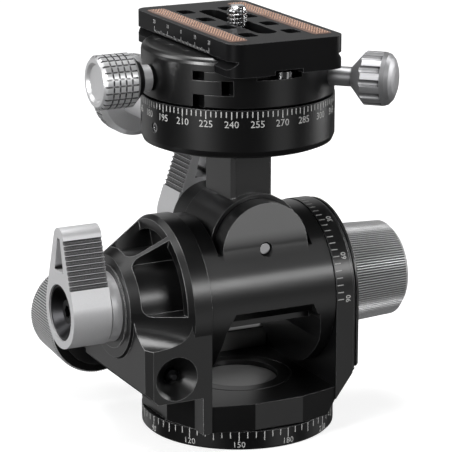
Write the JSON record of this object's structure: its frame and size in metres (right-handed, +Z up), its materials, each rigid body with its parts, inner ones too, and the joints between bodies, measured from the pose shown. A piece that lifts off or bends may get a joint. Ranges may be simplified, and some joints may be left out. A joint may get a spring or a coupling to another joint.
{
  "type": "geared tripod head",
  "caption": "Geared tripod head with tilt, roll and pan worm drives, locking levers, a panning base and a dovetail clamp with a quick-release camera plate.",
  "frame": {"origin": "centre of the tripod thread's mouth in the underside of the base", "axes": "+Z up along the pan axis; +X along the tilt axis towards the large side knob; -Y is the front, where the tilt's zero mark faces"},
  "size_m": [0.1148, 0.0956, 0.1332],
  "materials": {
    "black_aluminium": "satin black anodised",
    "silver_aluminium": "bead blasted, clear anodised",
    "plate_aluminium": "grey anodised, bright edges",
    "steel": "turned",
    "black_steel": "blackened",
    "brass": "machined",
    "woven_rubber": "tan, raised dots",
    "plastic": "bearing plastic"
  },
  "bodies": {
    "base": {"base_ring": "black_aluminium", "base_spindle": "steel", "base_screws": "steel", "spindle_nut": "black_aluminium", "bearing_washer": "plastic"},
    "yoke": {"yoke_floor": "black_aluminium", "centre_cap": "black_aluminium", "left_tower": "black_aluminium", "bearing_cover": "black_aluminium", "bearing_cover_screws": "steel", "right_tower": "black_aluminium", "right_cheek": "black_aluminium", "cheek_screws": "steel", "pitch_worm_bushes": "brass", "base_lock_pad": "brass"},
    "base_lock": {"base_lock_knob": "silver_aluminium"},
    "drum": {"drum": "black_aluminium", "drum_journal": "black_aluminium", "pitch_shaft": "steel", "pitch_worm_wheel": "brass", "roll_worm_bushes": "brass", "roll_axle": "steel", "roll_scale_collar": "black_aluminium"},
    "pitch_worm": {"pitch_worm": "steel", "pitch_knob": "silver_aluminium", "pitch_knob_collar": "black_aluminium"},
    "pitch_lever": {"pitch_lock_lever": "silver_aluminium", "pitch_lever_screw": "black_steel", "pitch_lever_sleeve": "black_aluminium"},
    "roll_worm": {"roll_worm": "steel", "roll_knob": "silver_aluminium", "roll_knob_collar": "black_aluminium"},
    "column": {"column": "black_aluminium", "roll_worm_wheel": "brass", "pan_disc": "black_aluminium", "pan_disc_cover": "black_aluminium", "pan_worm_bushes": "brass", "pan_set_screws": "steel"},
    "roll_lever": {"roll_lock_lever": "silver_aluminium", "roll_lever_screw": "black_steel", "roll_lever_sleeve": "black_aluminium"},
    "pan_worm": {"pan_worm": "steel", "pan_knob": "silver_aluminium", "pan_worm_sleeve": "black_aluminium"},
    "pan_gear": {"pan_worm_wheel": "brass", "pan_hub": "black_aluminium"},
    "clamp": {"clamp_body": "black_aluminium"},
    "pan_lock": {"pan_lock_knob": "silver_aluminium", "pan_lock_pad": "brass"},
    "jaw": {"clamp_jaw": "black_aluminium", "jaw_springs": "steel"},
    "clamp_knob": {"clamp_screw": "silver_aluminium", "clamp_knob": "silver_aluminium", "clamp_knob_collar": "black_aluminium"},
    "safety_pin": {"safety_pin": "steel"},
    "plate": {"camera_plate": "plate_aluminium", "left_grip_strip": "woven_rubber", "right_grip_strip": "woven_rubber"},
    "camera_screw": {"camera_screw": "steel"}
  },
  "joints": [
    {"name": "base_pan", "type": "hinge", "parent": "base", "child": "yoke", "pos_m": [0, 0, 0.0063], "axis": [0, 0, 1], "continuous": true},
    {"name": "base_lock_turn", "type": "hinge", "parent": "yoke", "child": "base_lock", "pos_m": [0, 0, 0.00815], "axis": [0, 1, 0], "range_deg": [-90, 90]},
    {"name": "pitch_tilt", "type": "hinge", "parent": "yoke", "child": "drum", "pos_m": [0, 0, 0.0432], "axis": [1, 0, 0], "range_deg": [-30, 90]},
    {"name": "pitch_worm_turn", "type": "hinge", "parent": "yoke", "child": "pitch_worm", "pos_m": [-0.0334, 0, 0.0257], "axis": [0, 1, 0], "range_deg": [-2530, 850]},
    {"name": "pitch_lever_turn", "type": "hinge", "parent": "yoke", "child": "pitch_lever", "pos_m": [0, 0, 0.0432], "axis": [-1, 0, 0], "range_deg": [-60, 60]},
    {"name": "roll_tilt", "type": "hinge", "parent": "drum", "child": "column", "pos_m": [0, 0, 0.0607], "axis": [0, 1, 0], "range_deg": [-30, 30]},
    {"name": "roll_worm_turn", "type": "hinge", "parent": "drum", "child": "roll_worm", "pos_m": [0, 0, 0.0432], "axis": [1, 0, 0], "range_deg": [-850, 850]},
    {"name": "roll_lever_turn", "type": "hinge", "parent": "drum", "child": "roll_lever", "pos_m": [0, 0, 0.0607], "axis": [0, 1, 0], "range_deg": [-60, 60]},
    {"name": "fine_pan", "type": "hinge", "parent": "column", "child": "pan_gear", "pos_m": [0, 0, 0.0994], "axis": [0, 0, 1], "range_deg": [-15, 15]},
    {"name": "pan_worm_turn", "type": "hinge", "parent": "column", "child": "pan_worm", "pos_m": [-0.0175, 0, 0.0994], "axis": [0, 1, 0], "range_deg": [-425, 425]},
    {"name": "coarse_pan", "type": "hinge", "parent": "pan_gear", "child": "clamp", "pos_m": [0, 0, 0.1072], "axis": [0, 0, 1], "range_deg": [-27, 120]},
    {"name": "pan_lock_turn", "type": "hinge", "parent": "clamp", "child": "pan_lock", "pos_m": [0, 0, 0.1134], "axis": [0.7071, -0.7071, 0], "range_deg": [-90, 90]},
    {"name": "jaw_slide", "type": "slide", "parent": "clamp", "child": "jaw", "axis": [-1, 0, 0], "range_m": [0, 0.003]},
    {"name": "clamp_knob_turn", "type": "hinge", "parent": "jaw", "child": "clamp_knob", "pos_m": [0, 0, 0.1134], "axis": [-1, 0, 0], "range_deg": [0, 1081]},
    {"name": "safety_pin_press", "type": "slide", "parent": "clamp", "child": "safety_pin", "axis": [0, 0, 1], "range_m": [-0.0015, 0], "stiffness_N_per_m": 300, "springref_m": 0.0005},
    {"name": "plate_slide", "type": "slide", "parent": "clamp", "child": "plate", "axis": [0, 1, 0], "range_m": [-0.008, 0.008]},
    {"name": "camera_screw_turn", "type": "hinge", "parent": "plate", "child": "camera_screw", "pos_m": [0, 0.0005, 0.1185], "axis": [0, 0, 1], "continuous": true}
  ],
  "couplings": [
    {"joint": "pitch_worm_turn", "follows": "pitch_tilt", "ratio": -28},
    {"joint": "roll_worm_turn", "follows": "roll_tilt", "ratio": 28},
    {"joint": "pan_worm_turn", "follows": "fine_pan", "ratio": 28},
    {"joint": "clamp_knob_turn", "follows": "jaw_slide", "rad_per_m": 6283.2}
  ]
}
